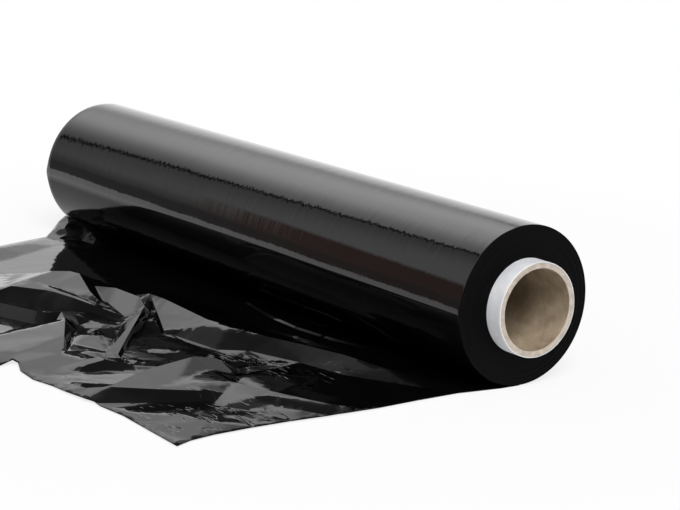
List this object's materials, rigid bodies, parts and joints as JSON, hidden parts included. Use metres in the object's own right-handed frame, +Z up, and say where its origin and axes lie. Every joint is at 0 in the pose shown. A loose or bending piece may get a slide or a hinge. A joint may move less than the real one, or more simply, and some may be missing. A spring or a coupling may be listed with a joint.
{
  "type": "stretch wrap roll",
  "caption": "Black stretch wrap wound on a white-lined paper core, lying on its side with a loose crumpled end of film pulled off the roll.",
  "frame": {"origin": "middle of the roll's axis, inside the core's bore; the surface that the roll lies on is 49 mm below it", "axes": "+X along the core's axis, +Z up, the loose end of film lies out towards -Y"},
  "size_m": [0.524, 0.292, 0.098],
  "materials": {
    "core_paper": "matt kraft paper, white outer ply",
    "black_film": "glossy opaque black polyethylene film"
  },
  "bodies": {
    "root": {"core_tube": "core_paper", "stretch_film": "black_film"}
  },
  "joints": []
}
